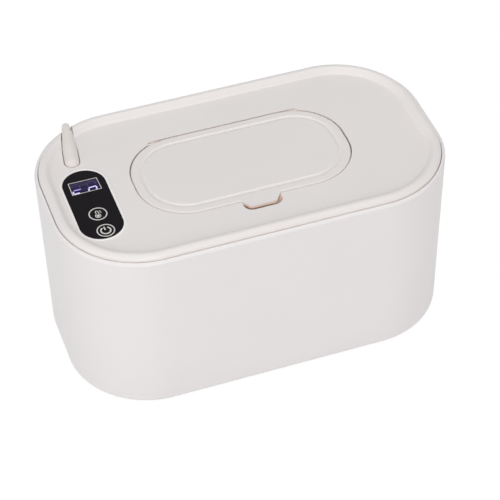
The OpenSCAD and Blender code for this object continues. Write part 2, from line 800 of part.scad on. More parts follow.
module heater_leads() color("#b03a30") for (s = [-1, 1])
    tube([
        [sense_x, s * 1.6, tray_z],
        [sense_x, s * 1.6, tray_floor_z + 0.5],
        [sense_x - 1.5, s * 1.5, header_z - 0.8],
        [header_face + 1, s * 1.4, header_z],
        [header_face - 1, s * 1.4, header_z]
    ], wire_d, 6);

module cord_wires() color("#303036") for (s = [-1, 1])
    let (x = boot_nose[0], y = boot_nose[1], low = clamp_z - 1.5)
        tube([
            [x + s, y, flange_z - wire_gap],
            [x + s, y, clamp_z + 0.2],
            [x + s, y - 1.2, clamp_z - 1],
            [x + s, y - 3, low],
            [x + s, y - 5.5, low],
            [x + 0.5 + 1.2 * s, board_y1 + 3, header_z - 0.8],
            [x + 0.5 + 1.2 * s, board_y1 - 2, header_z],
            [x + 0.5 + 1.2 * s, board_y1 - 4.4, header_z]
        ], wire_d, 6);

// ---- Cord ----

module cord_boot() color("#e8e5e3") {
    boot_shape(0);
    translate([boot_nose[0], boot_nose[1], flange_z]) {
        cylinder(r = stem_r, h = boot_nose[2] - flange_z);
        cylinder(r = flange_r, h = trough_z - flange_z);
    }
}

module cord_clamp() color("#d2cfce") translate([0, 0, clamp_z]) difference() {
    linear_extrude(clamp_t) hull() {
        at_points(clamp_at) circle(clamp_boss_r + 0.5);
        translate(boot_nose) circle(flange_r);
    }
    at_points(clamp_at) translate([0, 0, -1]) cylinder(r = pilot_r + 0.15, h = clamp_t + 2);
    translate([boot_nose[0], boot_nose[1], -1]) cylinder(r = clamp_hole, h = clamp_t + 2);
}

module clamp_screws() color("#b9bcc0") at_points(clamp_at)
    translate([0, 0, clamp_z]) screw(pilot_r - pin_gap, 1.7, 1.2, clamp_t + clamp_bite);

module power_cord() color("#e8e5e3") tube(route, cord_d, 8);

// The coil's turns: in along the lower layer, up a layer in the half turn where the spiral
// reverses, and out again along the upper layer
half_turns = coil_turns / 2;
function coil_radius(t) = coil_r - coil_step * (half_turns - abs(t - half_turns));
function coil_rise(t) =
    let (u = min(1, max(0, (t - half_turns + 0.25) / 0.5)))
    cord_low + coil_step * (0.5 - 0.5 * cos(180 * u));
function coil_point(t) = [
    coil_at[0] + coil_radius(t) * cos(360 * t - 90),
    coil_at[1] + coil_radius(t) * sin(360 * t - 90),
    coil_rise(t)
];
coil_path = concat(
    [coil_point(0) - [coil_lead, 0, 0]],
    [for (i = [0:coil_turns * coil_rings]) coil_point(i / coil_rings)],
    [coil_point(coil_turns) + [coil_lead, 0, 0]]
);
function path_length(p) = len(p) < 2 ? 0 : [for (i = 1, s = norm(p[1] - p[0]); i < len(p);
    i = i + 1, s = i < len(p) ? s + norm(p[i] - p[i - 1]) : s) s][len(p) - 2];
// Least gap between one turn and the turns that pass it later
coil_gap = min([
    for (i = [0:coil_turns * coil_rings - coil_rings / 2])
        for (j = [i + coil_rings / 2:coil_turns * coil_rings])
            norm(coil_point(i / coil_rings) - coil_point(j / coil_rings))
]) - cord_d;
echo(coil_gap = coil_gap);
echo(cord_length = path_length(route) + path_length(coil_path) + path_length(tail));

module cord_coil() color("#e8e5e3") tube(coil_path, cord_d, 6, [0, 0, 1]);

module cord_tail() color("#e8e5e3") tube(tail, cord_d, 8, [0, 0, 1]);

// ---- Plug ----

module plug_body() color("#e8e5e3") translate(plug_at) rotate([0, 90, 0]) {
    cylinder(r1 = cord_d / 2 + 0.6, r2 = plug_t / 2 - 0.4, h = plug_neck);
    translate([0, 0, plug_neck]) difference() {
        linear_extrude(plug_len) round_plan(plug_t / 2 - 2, plug_w / 2 - 2, 2);
        translate([0, 0, plug_len - 4]) linear_extrude(5)
            square([shell_h, shell_w], center = true);
    }
}

plug_front = [plug_x + plug_neck + plug_len, plug_at[1], plug_at[2]];

module plug_shell() color("#c9ccd0") translate(plug_front) difference() {
    translate([-4, -shell_w / 2, -shell_h / 2]) cube([plug_out + 4, shell_w, shell_h]);
    translate([-3.6, -shell_w / 2 + shell_t, -shell_h / 2 + shell_t])
        cube([plug_out + 5, shell_w - 2 * shell_t, shell_h - 2 * shell_t]);
    for (s = [-1, 1])
        translate([8, s * 2.5 - 1.1, -shell_h]) cube([2.4, 2.2, 2 * shell_h]);
}

module plug_tongue() color("#f2f2f2") translate(plug_front)
    translate([-3.6, -shell_w / 2 + shell_t, -shell_h / 2 + shell_t])
        cube([plug_out + 3, shell_w - 2 * shell_t, tongue_t]);

module plug_contacts() color("#d8b45a") translate(plug_front) for (k = [-1.5:1:1.5])
    translate([plug_out - contact_l - contact_in, k * 2.4 - 0.5, tongue_top]) cube([contact_l, 1, 0.2]);

tub();
rubber_feet();
lid_cover();
lid_tray();
rim_gasket();
lid_screws();
flip_door();
door_seal();
control_panel();
display_module();
control_board();
board_screws();
touch_springs();
control_chip();
capacitor();
heater_plate();
heater_film();
insulation_pad();
thermistor();
thermal_fuse();
lead_header();
cord_header();
sensor_leads();
heater_leads();
cord_wires();
cord_boot();
cord_clamp();
clamp_screws();
power_cord();
cord_coil();
cord_tail();
plug_body();
plug_shell();
plug_tongue();
plug_contacts();
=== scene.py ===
# %% [markdown]
# # A baby wipe warmer
# The object is a moulded plastic tub with a lift-off lid. The lid has a round-cornered door
# over the opening for the wipes, a glossy black touch panel, and a low strain relief through
# which the cord leaves over the rear rim. The CAD model comes in first as a fixed frame. Every
# piece made here takes its place from the same sizes and rides on one of the frame's bodies.

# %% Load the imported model
import math

import bmesh
import bpy
from mathutils import Matrix, Vector
from mathutils.geometry import interpolate_bezier


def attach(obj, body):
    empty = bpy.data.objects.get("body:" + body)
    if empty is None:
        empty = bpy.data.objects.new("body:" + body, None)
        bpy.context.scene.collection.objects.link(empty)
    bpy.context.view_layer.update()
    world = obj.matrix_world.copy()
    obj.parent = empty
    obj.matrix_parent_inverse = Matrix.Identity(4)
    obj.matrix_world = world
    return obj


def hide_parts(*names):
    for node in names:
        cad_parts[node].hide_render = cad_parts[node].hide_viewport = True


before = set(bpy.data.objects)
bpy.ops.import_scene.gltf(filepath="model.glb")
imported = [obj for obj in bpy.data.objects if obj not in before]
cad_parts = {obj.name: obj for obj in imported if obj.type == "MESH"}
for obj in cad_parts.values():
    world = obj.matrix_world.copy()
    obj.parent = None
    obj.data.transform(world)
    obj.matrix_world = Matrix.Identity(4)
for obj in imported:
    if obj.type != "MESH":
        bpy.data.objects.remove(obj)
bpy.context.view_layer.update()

MM = 0.001
scene = bpy.context.scene

# %% [markdown]
# ## Camera
# The photograph looks down on the front from the left with a long lens, so the edges that run
# away from the viewer hardly converge. A camera's place can be found by eye or by matching
# outlines. Here the outlines of the tub, the lid and the door were matched, and the result is
# written as a bearing, a height and a small roll about a point in the middle of the object,
# with the small shifts to the right and up that its place in the frame needs.

# %% Camera
PHOTO_SIDE = 500
FOCAL_PIXELS, SENSOR = 1941.953, 36.0
LENS_TARGET = Vector((0.0, 0.0, 50.0)) * MM
BEARING, HEIGHT, ROLL = (math.radians(a) for a in (18.424, 43.162, -1.267))
DISTANCE = 990.263 * MM
AIM_RIGHT, AIM_UP = -3.924 * MM, 10.356 * MM

forward = Vector((math.sin(BEARING) * math.cos(HEIGHT),
                  math.cos(BEARING) * math.cos(HEIGHT), -math.sin(HEIGHT)))
level = Vector((math.cos(BEARING), -math.sin(BEARING), 0))
upright = level.cross(forward)
cam_right = level * math.cos(ROLL) + upright * math.sin(ROLL)
cam_up = upright * math.cos(ROLL) - level * math.sin(ROLL)

lens = bpy.data.cameras.new("camera")
lens.sensor_width = SENSOR
lens.lens = FOCAL_PIXELS / PHOTO_SIDE * SENSOR
lens.clip_start = 0.05
camera = bpy.data.objects.new("camera", lens)
turn = Matrix((cam_right, cam_up, -forward)).transposed().to_4x4()
place = LENS_TARGET - forward * DISTANCE - cam_right * AIM_RIGHT - cam_up * AIM_UP
camera.matrix_world = Matrix.Translation(place) @ turn
scene.collection.objects.link(camera)
scene.camera = camera
print("camera at", [round(v, 4) for v in place], "lens", round(lens.lens, 2), "mm")

# %% [markdown]
# ## Colours and nodes
# A maker's colour chart gives sRGB values, but a shader works in linear light. One function
# turns a hex colour to linear, and another adds a node with its settings and its links, so
# that each material reads as a short recipe.

# %% Colour and node helpers
def colour(code):
    """Linear RGBA of an sRGB hex colour."""
    parts = [int(code[i:i + 2], 16) / 255 for i in (0, 2, 4)]
    return [c / 12.92 if c <= 0.04045 else ((c + 0.055) / 1.055) ** 2.4 for c in parts] + [1.0]


def add_node(tree, kind, links=None, **settings):
    """Adds a node; a name in settings is a property or an input, and links feed inputs."""
    node = tree.nodes.new(kind)
    for name, value in settings.items():
        if hasattr(node, name) and name not in node.inputs:
            setattr(node, name, value)
        else:
            node.inputs[name.replace("_", " ")].default_value = value
    for name, source in (links or {}).items():
        tree.links.new(source, node.inputs[name])
    return node


def new_material(name):
    """An empty material with its output; returns the material and its tree."""
    made = bpy.data.materials.new(name)
    made.use_nodes = True
    made.node_tree.nodes.clear()
    return made, made.node_tree


def finish_material(made, tree, shader):
    """Joins the last shader to the output."""
    end = add_node(tree, "ShaderNodeOutputMaterial")
    tree.links.new(shader.outputs[0], end.inputs["Surface"])
    return made

# %% [markdown]
# ## Moulded plastic
# The tub, lid and door are warm white ABS. A mould spark-eroded to a fine grain leaves a skin
# that looks smooth from a step away but breaks up the highlights, so the finish is a mid
# roughness with a faint bump. Its grain of half a millimetre is a little coarser than the real
# one, so that it shows at all. Each moulding has its own tone, because separate mouldings of
# one colour never match quite. The colour also drifts very slightly over a few centimetres.
#
# Light that bounces about in the narrow gaps round the door and in the finger scoop comes out
# warm. The render has fewer bounces than real light, so a faint warm tint of painted bounce
# light, faded in by height and kept mostly to the front, gives the eye the same glow.

# %% A recipe for moulded plastic
CLOUD_MM, GLOSS_SPREAD = 38, 0.04
SCOOP_STARTS, SCOOP_FULL, GAP_SHARE = -28, -31, 0.25


def coordinates(tree):
    """Object coordinates, in millimetres."""
    source = add_node(tree, "ShaderNodeTexCoord")
    scaled = add_node(tree, "ShaderNodeMapping", {"Vector": source.outputs["Object"]},
                      Scale=(1 / MM, 1 / MM, 1 / MM))
    return scaled.outputs["Vector"]


def paint_bounce_glow(tree, where, tone, upper, lower, tint):
    """Mixes in the painted bounce-light tint between two fades, each from a height without it to
    one with all.
    """
    place = add_node(tree, "ShaderNodeSeparateXYZ", {"Vector": where})
    band = add_node(tree, "ShaderNodeMath", operation="MINIMUM")
    for socket, (none, full) in enumerate((upper, lower)):
        fade = add_node(tree, "ShaderNodeMapRange", {"Value": place.outputs["Z"]},
                        From_Min=none, From_Max=full)
        tree.links.new(fade.outputs["Result"], band.inputs[socket])
    front = add_node(tree, "ShaderNodeMapRange", {"Value": place.outputs["Y"]},
                     From_Min=SCOOP_STARTS, From_Max=SCOOP_FULL, To_Min=GAP_SHARE)
    share = add_node(tree, "ShaderNodeMath", operation="MULTIPLY")
    tree.links.new(band.outputs[0], share.inputs[0])
    tree.links.new(front.outputs["Result"], share.inputs[1])
    return add_node(tree, "ShaderNodeMix", {
        "Factor": share.outputs[0], "A": tone.outputs["Result"]}, data_type="RGBA",
        B=colour(tint))


def moulded(name, code, roughness, grain_mm, depth_mm, ior=1.53, mottle=0.04, painted_bounce=None):
    """A moulded plastic or rubber: slightly mottled colour, uneven gloss and a fine grain, and
    where given a painted warm glow of bounced light in its gaps.
    """
    made, tree = new_material(name)
    where = coordinates(tree)
    grain = add_node(tree, "ShaderNodeTexNoise", {"Vector": where}, Scale=1 / grain_mm,
                     Detail=3.0, Roughness=0.6)
    cloud = add_node(tree, "ShaderNodeTexNoise", {"Vector": where}, Scale=1 / CLOUD_MM,
                     Detail=2.0)
    base = colour(code)
    tone = add_node(tree, "ShaderNodeMix", {"Factor": cloud.outputs["Fac"]}, data_type="RGBA",
                    A=[c * (1 - mottle) for c in base[:3]] + [1.0], B=base)
    if painted_bounce:
        tone = paint_bounce_glow(tree, where, tone, *painted_bounce)
    gloss = add_node(tree, "ShaderNodeMapRange", {"Value": cloud.outputs["Fac"]},
                     To_Min=roughness - GLOSS_SPREAD, To_Max=roughness + GLOSS_SPREAD)
    relief = add_node(tree, "ShaderNodeBump", {"Height": grain.outputs["Fac"]},
                      Strength=0.35, Distance=depth_mm * MM)
    shader = add_node(tree, "ShaderNodeBsdfPrincipled", {
        "Base Color": tone.outputs["Result"], "Roughness": gloss.outputs["Result"],
        "Normal": relief.outputs["Normal"]}, IOR=ior)
    return finish_material(made, tree, shader)

# %% Plastics and rubbers
# Painted bounce light: a warm tint faded into the gaps round the door and the finger scoop
PAINTED_BOUNCE_TINT = "FBE0CE"
PAINTED_BOUNCE_IN_GAPS = ((97.35, 96.85), (94.7, 95.1), PAINTED_BOUNCE_TINT)
PAINTED_BOUNCE_ON_DOOR = ((96.95, 96.6), (95.3, 95.5), PAINTED_BOUNCE_TINT)
# Grained ABS: even, warm white, with highlights that spread softly
tub_abs = moulded("warm_white_abs_tub", "ECE8E9", 0.38, 0.5, 0.012)
# The lid and the door also carry the painted bounce light in their gaps
lid_abs = moulded("warm_white_abs_lid", "EAE6E5", 0.36, 0.5, 0.012, painted_bounce=PAINTED_BOUNCE_IN_GAPS)
door_abs = moulded("warm_white_abs_door", "E9E5E4", 0.34, 0.5, 0.010, painted_bounce=PAINTED_BOUNCE_ON_DOOR)
# Smoother ABS for the ring, painted whiter than the lid: the extra white is a painted highlight
# along its rounded top, the clean line round the black panel
bezel_abs_painted_highlight = moulded("bright_white_abs_bezel", "F6F3F2", 0.3, 0.5, 0.008)
# Polypropylene without a dye: a waxy, greyer white
tray_pp = moulded("natural_polypropylene", "DCDAD6", 0.42, 0.8, 0.02, ior=1.49)
# PVC: a smooth, softly shining sheath, and a matt, creamier strain relief
cord_vinyl = moulded("cord_pvc_white", "E9E5E2", 0.45, 0.7, 0.02, ior=1.54)
boot_vinyl = moulded("soft_pvc_strain_relief", "E5E0DB", 0.55, 0.6, 0.04, ior=1.54)
# Rubber and silicone: dull grey feet and milky seals
foot_rubber = moulded("grey_rubber", "8D8B89", 0.75, 0.4, 0.05, ior=1.52)
seal_silicone = moulded("white_silicone", "E8E6E2", 0.55, 0.9, 0.02, ior=1.41)
# Foam: a dry, blotchy beige
foam_felt = moulded("closed_cell_foam", "D6CFBC", 0.9, 0.6, 0.2, ior=1.4, mottle=0.12)
# Nylon and plug insulator: ivory connectors and a plain white tongue
nylon = moulded("natural_nylon", "F0EBDD", 0.4, 0.7, 0.02)
tongue_white = moulded("plug_insulator", "F2F2F0", 0.3, 0.8, 0.01)
# Dipped epoxy is glossy, fired ceramic is pale and satin, and chip resin is a dull black
epoxy_blue = moulded("blue_epoxy_bead", "26356A", 0.25, 0.8, 0.02)
fuse_ceramic = moulded("fuse_ceramic", "D9D5CC", 0.4, 0.4, 0.03, ior=1.7)
chip_resin = moulded("black_chip_resin", "26262A", 0.5, 0.3, 0.02)
# Wire PVC: plain strong colours, so that the leads are told apart
wire_blue = moulded("blue_wire_pvc", "3B4B92", 0.4, 0.8, 0.02)
wire_red = moulded("red_wire_pvc", "B03429", 0.4, 0.8, 0.02)
wire_black = moulded("black_wire_pvc", "222226", 0.4, 0.8, 0.02)
print("plastics and rubbers:", len(bpy.data.materials))

# %% [markdown]
# ## Metals
# A metal's colour is its reflection, so it is fully metallic and keeps the default IOR, and
# its surface treatment shows in the roughness: plated steel has a fine directionless grain
# and rolled aluminium a brushed one that is stretched along the rolling direction.

# %% Metal materials
def metal(name, code, roughness, stretch=(1, 1, 1), grain_mm=0.4):
    """A metal with a grain that may be stretched in one direction."""
    made, tree = new_material(name)
    shaped = add_node(tree, "ShaderNodeMapping", {"Vector": coordinates(tree)}, Scale=stretch)
    grain = add_node(tree, "ShaderNodeTexNoise", {"Vector": shaped.outputs["Vector"]},
                     Scale=1 / grain_mm, Detail=4.0)
    gloss = add_node(tree, "ShaderNodeMapRange", {"Value": grain.outputs["Fac"]},
                     To_Min=roughness - 0.07, To_Max=roughness + 0.1)
    relief = add_node(tree, "ShaderNodeBump", {"Height": grain.outputs["Fac"]},
                      Strength=0.2, Distance=0.01 * MM)
    shader = add_node(tree, "ShaderNodeBsdfPrincipled", {
        "Roughness": gloss.outputs["Result"], "Normal": relief.outputs["Normal"]},
        Base_Color=colour(code), Metallic=1.0)
    return finish_material(made, tree, shader)


# Zinc and nickel plating: cool greys, the nickel a little brighter and sharper
zinc_steel = metal("zinc_plated_steel", "C4C7CA", 0.32)
plug_nickel = metal("nickel_plated_steel", "CDCFD2", 0.25)
# Rolled sheet: fine streaks along the rolling direction
rolled_aluminium = metal("rolled_aluminium", "CACCCE", 0.35, (0.05, 1, 1), 0.5)
# Drawn can: a darker, satin grey
can_aluminium = metal("capacitor_can", "8F9296", 0.35)
# Spring brass and gold flash: warm yellows, the gold the smoother one
brass = metal("spring_brass", "CBA968", 0.3)
contact_gold = metal("gold_flash", "DDB65A", 0.22)
print("materials with the metals:", len(bpy.data.materials))

# %% [markdown]
# ## Board, film and touch panel
# The circuit board is green solder mask over copper tracks, which show as slightly paler
# raised lines; a brick pattern turned into thin lines gives them. The film heater is amber
# polyimide with an etched track under it. The touch panel is black-tinted acrylic polished to
# a mirror, with the deep violet cast that a smoked window has.

# %% Board and film materials
def tracked(name, base, track, track_mm, roughness, depth_mm):
    """A flat laminate with fine conductor lines under its coating."""
    made, tree = new_material(name)
    lines = add_node(tree, "ShaderNodeTexBrick", {"Vector": coordinates(tree)},
                     Scale=1 / track_mm, Mortar_Size=0.06, Mortar_Smooth=0.3,
                     Color1=colour(base), Color2=[c * 0.94 for c in colour(base)[:3]] + [1],
                     Mortar=colour(track))
    relief = add_node(tree, "ShaderNodeBump", {"Height": lines.outputs["Fac"]},
                      Strength=0.4, Distance=depth_mm * MM)
    shader = add_node(tree, "ShaderNodeBsdfPrincipled", {
        "Base Color": lines.outputs["Color"], "Normal": relief.outputs["Normal"]},
        Roughness=roughness)
    return finish_material(made, tree, shader)


# Solder mask: glassy green with paler raised tracks
board_green = tracked("green_solder_mask", "1F6B45", "3E8F62", 5, 0.3, 0.03)
# Polyimide film: clear amber over a dark etched track
heater_amber = tracked("amber_polyimide", "B3661F", "7C4213", 6, 0.22, 0.02)

# %% Panel and display materials
SPECKLE_MM = 1.5
UNLIT = "000000"


def glowing(name, base, glow, strength, roughness, gleam=0.2):
    """A tinted window or ink with light behind it; a strength of 0 is plain ink."""
    made, tree = new_material(name)
    cloud = add_node(tree, "ShaderNodeTexNoise", {"Vector": coordinates(tree)},
                     Scale=1 / SPECKLE_MM, Detail=2.0)
    gloss = add_node(tree, "ShaderNodeMapRange", {"Value": cloud.outputs["Fac"]},
                     To_Min=roughness - 0.04, To_Max=roughness + 0.06)
    shader = add_node(tree, "ShaderNodeBsdfPrincipled", {"Roughness": gloss.outputs["Result"]},
                      Base_Color=colour(base), IOR=1.49, Specular_IOR_Level=gleam,
                      Emission_Color=colour(glow), Emission_Strength=strength)
    return finish_material(made, tree, shader)


# Smoked acrylic: almost black, with a weak, sharp gleam
panel_acrylic = glowing("smoked_acrylic_panel", "151216", UNLIT, 0.0, 0.12, gleam=0.06)
# Screen ink: flat pale grey lines
ink_grey = glowing("screen_ink_grey", "D9D5D3", UNLIT, 0.0, 0.45)
# Filter in front of the display: a deep violet that glows faintly by itself
violet_window = glowing("violet_display_filter", "17131F", "3A2E70", 0.22, 0.14, gleam=0.06)
# Display segments: fully lit, half lit, and only catching their neighbours' light
digit_white = glowing("lit_display_digit", "8F86C0", "E6DEFF", 0.66, 0.3)
digit_lilac = glowing("half_lit_display_digit", "8A7CC8", "A898EC", 0.55, 0.3)
digit_violet = glowing("dim_display_digit", "221C42", "463A98", 0.2, 0.3)
print("materials in all:", len(bpy.data.materials))

# %% [markdown]
# ## Shapes from profiles
# A moulded shell with round plan corners is one profile swept round its outline, as a mould
# maker's template is. The profile could be modelled by hand at every corner; instead one
# Geometry Nodes tree takes the outline's length, depth and corner radius as named inputs and
# carries any profile round it. With equal sides and a full corner radius it turns the same
# profile on a lathe, so feet and screws come from it too.

# %% Profile and path helpers
def arc(x, y, radius, start, end, steps=8):
    """Points of an arc, with its angles in degrees."""
    turns = [math.radians(start + (end - start) * i / steps) for i in range(steps + 1)]
    return [(x + radius * math.cos(t), y + radius * math.sin(t)) for t in turns]


def rounded(points, steps=5):
    """A polyline whose points may carry a third number, the radius that rounds them."""
    out = []
    for i, point in enumerate(points):
        if len(point) == 2:
            out.append(point)
            continue
        here = Vector(point[:2])
        back = (Vector(points[i - 1][:2]) - here).normalized()
        onward = (Vector(points[i + 1][:2]) - here).normalized()
        half = math.acos(max(-1, min(1, back.dot(onward)))) / 2
        centre = here + (back + onward).normalized() * point[2] / math.sin(half)
        first = here + back * point[2] / math.tan(half) - centre
        last = here + onward * point[2] / math.tan(half) - centre
        start = math.degrees(math.atan2(first.y, first.x))
        turn = (math.degrees(math.atan2(last.y, last.x)) - start + 180) % 360 - 180
        out += arc(centre.x, centre.y, point[2], start, start + turn, steps)
    return out

# %% Trees, meshes and their closing
MERGE_MM = 0.01


def shape_tree(name, sizes):
    """A Geometry Nodes tree with named size inputs; returns it, its input node and its ending."""
    tree = bpy.data.node_groups.new(name, "GeometryNodeTree")
    tree.interface.new_socket("Geometry", in_out="INPUT", socket_type="NodeSocketGeometry")
    tree.interface.new_socket("Geometry", in_out="OUTPUT", socket_type="NodeSocketGeometry")
    for label, kind in sizes.items():
        tree.interface.new_socket(label, in_out="INPUT", socket_type="NodeSocket" + kind)
    given = tree.nodes.new("NodeGroupInput")

    def end(result):
        real = add_node(tree, "GeometryNodeRealizeInstances", {"Geometry": result})
        painted = add_node(tree, "GeometryNodeSetMaterial", {
            "Geometry": real.outputs[0], "Material": given.outputs["Finish"]})
        output = tree.nodes.new("NodeGroupOutput")
        tree.links.new(painted.outputs[0], output.inputs[0])
        return tree
    return tree, given, end


def link_mesh(name, points, edges=(), faces=()):
    """A linked object at the origin whose mesh is given in millimetres."""
    data = bpy.data.meshes.new(name)
    data.from_pydata([tuple(c * MM for c in p) for p in points], edges, faces)
    made = bpy.data.objects.new(name, data)
    scene.collection.objects.link(made)
    return made


def run_tree(thing, tree, **sizes):
    """Sets the tree's inputs by their identifiers, evaluates it and keeps the plain mesh."""
    modifier = thing.modifiers.new(tree.name, "NODES")
    modifier.node_group = tree
    for item in tree.interface.items_tree:
        label = item.name.replace(" ", "_").lower()
        if item.in_out == "INPUT" and label in sizes:
            modifier[item.identifier] = sizes[label]
    return settle(thing)


def settle(thing):
    """Turns an object's evaluated shape into its own mesh and removes its modifiers."""
    graph = bpy.context.evaluated_depsgraph_get()
    result = bpy.data.meshes.new_from_object(thing.evaluated_get(graph), depsgraph=graph)
    thing.modifiers.clear()
    old, thing.data = thing.data, result
    bpy.data.meshes.remove(old)
    return thing


def close_up(thing, sharp=32):
    """Merges doubles, caps open ends, turns faces outwards and keeps only sharp edges sharp."""
    work = bmesh.new()
    work.from_mesh(thing.data)
    bmesh.ops.remove_doubles(work, verts=work.verts, dist=MERGE_MM * MM)
    bmesh.ops.holes_fill(work, edges=[e for e in work.edges if e.is_boundary])
    bmesh.ops.recalc_face_normals(work, faces=work.faces)
    if work.calc_volume(signed=True) < 0:
        bmesh.ops.reverse_faces(work, faces=work.faces)
    for face in work.faces:
        face.smooth = True
    for edge in work.edges:
        edge.smooth = len(edge.link_faces) == 2 and edge.calc_face_angle() < math.radians(sharp)
    work.to_mesh(thing.data)
    work.free()
    flat = thing.modifiers.new("flat_faces_stay_flat", "WEIGHTED_NORMAL")
    flat.keep_sharp = True
    return settle(thing)

# %% [markdown]
# The tree is short: a rectangle with its corners filleted is the path, the object's own mesh is
# the profile, and Curve to Mesh joins them.

# %% The sweeping tree
SWEPT, given, end = shape_tree("swept_profile", {
    "Length": "Float", "Depth": "Float", "Corner Radius": "Float", "Corner Steps": "Int",
    "Finish": "Material"})
outline = add_node(SWEPT, "GeometryNodeCurvePrimitiveQuadrilateral", {
    "Width": given.outputs["Length"], "Height": given.outputs["Depth"]})
path = add_node(SWEPT, "GeometryNodeFilletCurve", {
    "Curve": outline.outputs[0], "Radius": given.outputs["Corner Radius"],
    "Count": given.outputs["Corner Steps"]}, mode="POLY")
profile = add_node(SWEPT, "GeometryNodeMeshToCurve", {"Mesh": given.outputs["Geometry"]})
skin = add_node(SWEPT, "GeometryNodeCurveToMesh", {
    "Curve": path.outputs[0], "Profile Curve": profile.outputs[0]})
end(skin.outputs[0])
# A corner of exactly half the length would leave a side of no length, which has no direction
NEARLY_HALF = 0.499
print("tree", SWEPT.name, "with", len(SWEPT.nodes), "nodes")

# %% Sweeping, cutting and plain rods
def sweep(name, points, finish, radius, length=0, depth=0, middle=(0, 0), steps=20, ring=False):
    """Sweeps a profile, given as distance from the corner's centre and height, round an outline
    with that corner radius. Without a length and depth it's turned round its middle."""
    count = len(points)
    edges = [(i, i + 1) for i in range(count - 1)] + ([(count - 1, 0)] if ring else [])
    thing = link_mesh(name, [(x - radius, -z, 0) for x, z in points], edges)
    length, depth = length or 2 * radius, depth or 2 * radius
    run_tree(thing, SWEPT, length=length * MM, depth=depth * MM,
             corner_radius=min(radius, NEARLY_HALF * length) * MM,
             corner_steps=steps, finish=finish)
    thing.data.transform(Matrix.Translation(Vector((*middle, 0)) * MM))
    return close_up(thing)


def cut(thing, *tools):
    """Cuts closed shapes out of a closed object and removes them."""
    for tool in tools:
        modifier = thing.modifiers.new("cut", "BOOLEAN")
        modifier.object, modifier.solver = tool, "MANIFOLD"
    settle(thing)
    for tool in tools:
        bpy.data.objects.remove(tool)
    return close_up(thing)


def rod(start, end, radius, steps=40):
    """A plain cylinder from start to end, in millimetres."""
    start, end = Vector(start), Vector(end)
    turn = (end - start).to_track_quat("Z", "Y").to_matrix()
    circle = [Vector((x, y, 0)) for x, y in arc(0, 0, radius, 0, 360, steps)[:-1]]
    points = [start + turn @ p for p in circle] + [end + turn @ p for p in circle]
    sides = [(i, (i + 1) % steps, steps + (i + 1) % steps, steps + i) for i in range(steps)]
    caps = [tuple(reversed(range(steps))), tuple(range(steps, 2 * steps))]
    return link_mesh("rod", points, faces=sides + caps)

# %% [markdown]
# ## Standing in for the frame's solids
# A finer piece takes the place of a plain solid and rides on the same body. Where a solid's
# shape is already right, a copy with its loose triangles merged is enough, because then its
# rounded faces can be shaded smooth and only real edges stay sharp.


def dress(thing, finish):
    """Gives an object one finish, whatever slots it had."""
    thing.data.materials.clear()
    thing.data.materials.append(finish)


def stand_in(piece, body, *nodes, slot=None):
    """Rides a piece on its body in place of the nodes it stands for, and hides them; its slot is
    not used.
    """
    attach(piece, body)
    if nodes:
        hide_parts(*nodes)
    return piece


def smooth_copy(node, body, finish, sharp=28):
    """A merged copy of a solid, shaded smooth, in the solid's place."""
    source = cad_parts[node]
    piece = bpy.data.objects.new(node + "_moulding", source.data.copy())
    scene.collection.objects.link(piece)
    close_up(piece, sharp)
    dress(piece, finish)
    return stand_in(piece, body, node)


for node, body, finish in [("lid_cover", "lid", lid_abs), ("lid_tray", "lid", tray_pp),
                           ("flip_door", "flip", door_abs), ("cord_boot", "lid", boot_vinyl),
                           ("plug_body", "lid", cord_vinyl)]:
    piece = smooth_copy(node, body, finish)
    print(piece.name, len(piece.data.polygons), "faces")

# %% [markdown]
# ## The cord's route
# The cord is one length of round PVC flex, 4 mm thick, that leaves the strain relief, bends
# down behind the tub, runs along the table, lies in a neat coil and ends at a low-voltage
# plug. A curve could be drawn by hand, but the frame's solids follow a route of chosen points,
# so the same points are used here and the coil's turns come from its formula.

# %% Cord route
CORD_D = 4.0
CORD_LOW = CORD_D / 2 + 0.1
BOOT_NOSE, BOOT_END = Vector((-78.8, 26.4, 96.8)), Vector((-75.6, 47, 99.2))
BOOT_DIR = (BOOT_END - BOOT_NOSE).normalized()
STRAIGHT, BEND_R, BEND_STEPS = 0.6, 9.0, 8
DOWN_ROUTE = [
    (-73.9, 57.6, 84), (-73.9, 57.7, 70), (-73.9, 57.9, 52), (-73.8, 58.2, 36),
    (-73.8, 58.4, 24), (-73.8, 58.4, 14.1), (-72.9, 58.7, 9.5), (-70.5, 59.6, 5.6),
    (-66.8, 60.9, 3), (-62.5, 62.5, CORD_LOW), (-52, 66, CORD_LOW), (-42, 68.7, CORD_LOW),
    (-32, 70.3, CORD_LOW), (-23, 70.9, CORD_LOW), (-18, 71, CORD_LOW), (-14, 71, CORD_LOW),
]
TAIL_ROUTE = [(-6, 71, 6.6), (2, 71, 6.6), (9, 71, 5.8), (16, 71, 4.6), (22, 71, 4), (28, 71, 4)]
COIL_AT, COIL_R, COIL_TURNS, COIL_STEP, CLIMB_TURNS = (-10, 100), 29.0, 8, 4.5, 0.5
POINTS_A_TURN = 32


def coil_point(turn):
    """The coil's middle line: in on the lower layer, up half way, and out on the upper one."""
    half = COIL_TURNS / 2
    radius = COIL_R - COIL_STEP * (half - abs(turn - half))
    climb = min(1, max(0, (turn - half + CLIMB_TURNS / 2) / CLIMB_TURNS))
    angle = math.radians(360 * turn - 90)
    return (COIL_AT[0] + radius * math.cos(angle), COIL_AT[1] + radius * math.sin(angle),
            CORD_LOW + COIL_STEP * (0.5 - 0.5 * math.cos(math.pi * climb)))


